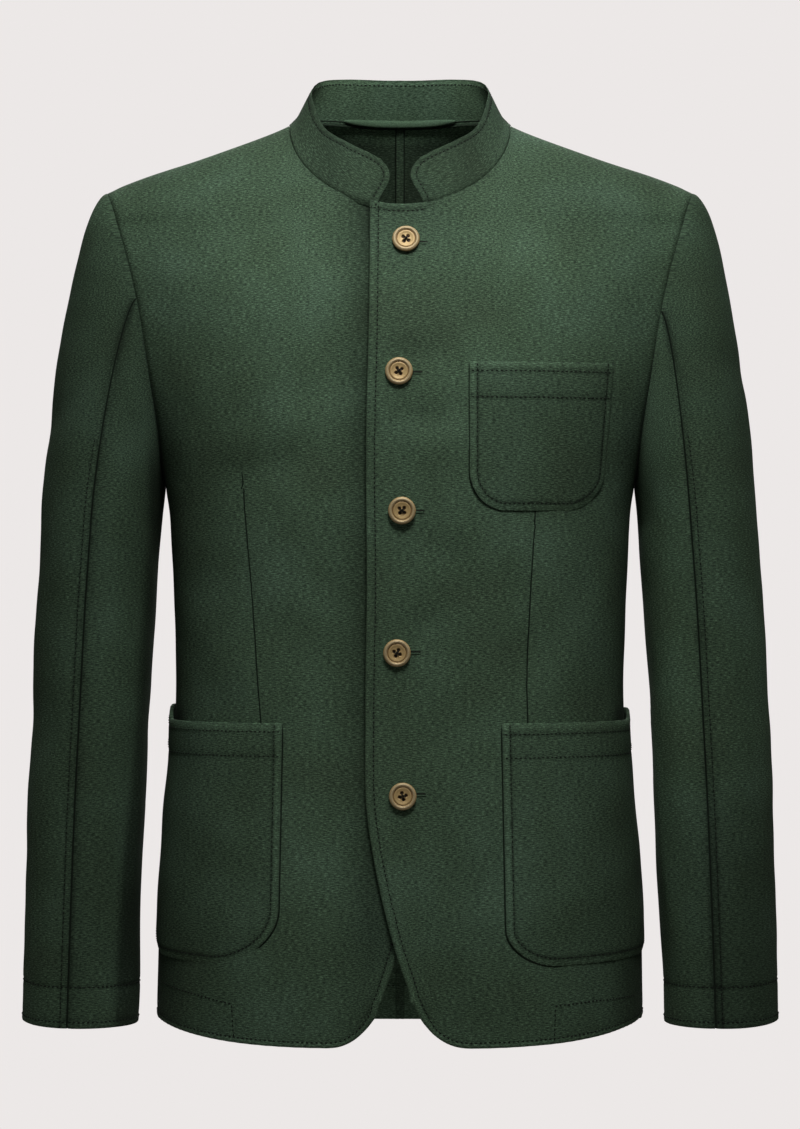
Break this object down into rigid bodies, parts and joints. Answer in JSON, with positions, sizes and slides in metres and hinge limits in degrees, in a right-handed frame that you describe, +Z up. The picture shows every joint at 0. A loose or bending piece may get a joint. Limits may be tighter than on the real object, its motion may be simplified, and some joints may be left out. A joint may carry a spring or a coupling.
{
  "type": "trachten jacket",
  "caption": "Green felted-wool trachten jacket with a stand collar, patch pockets, two-piece sleeves and antique-brass buttons, filled out as if worn.",
  "frame": {"origin": "middle of the neck base, level with the side neck points, where the wearer's neck and shoulders hold the jacket", "axes": "+Z up, along the length; +X to the wearer's left; the front faces -Y"},
  "size_m": [0.604, 0.2439, 0.7718],
  "materials": {
    "felted_wool": "felted, matt, slightly fuzzy",
    "antique_brass": "antiqued, satin"
  },
  "bodies": {
    "root": {"front_left": "felted_wool", "front_right": "felted_wool", "back_left": "felted_wool", "back_right": "felted_wool", "upper_sleeve_left": "felted_wool", "upper_sleeve_right": "felted_wool", "under_sleeve_left": "felted_wool", "under_sleeve_right": "felted_wool", "collar": "felted_wool", "pocket_chest": "felted_wool", "pocket_left": "felted_wool", "pocket_right": "felted_wool", "hanger_loop": "felted_wool", "back_seam_tape": "felted_wool", "button_1": "antique_brass", "button_2": "antique_brass", "button_3": "antique_brass", "button_4": "antique_brass", "button_5": "antique_brass"}
  },
  "joints": []
}
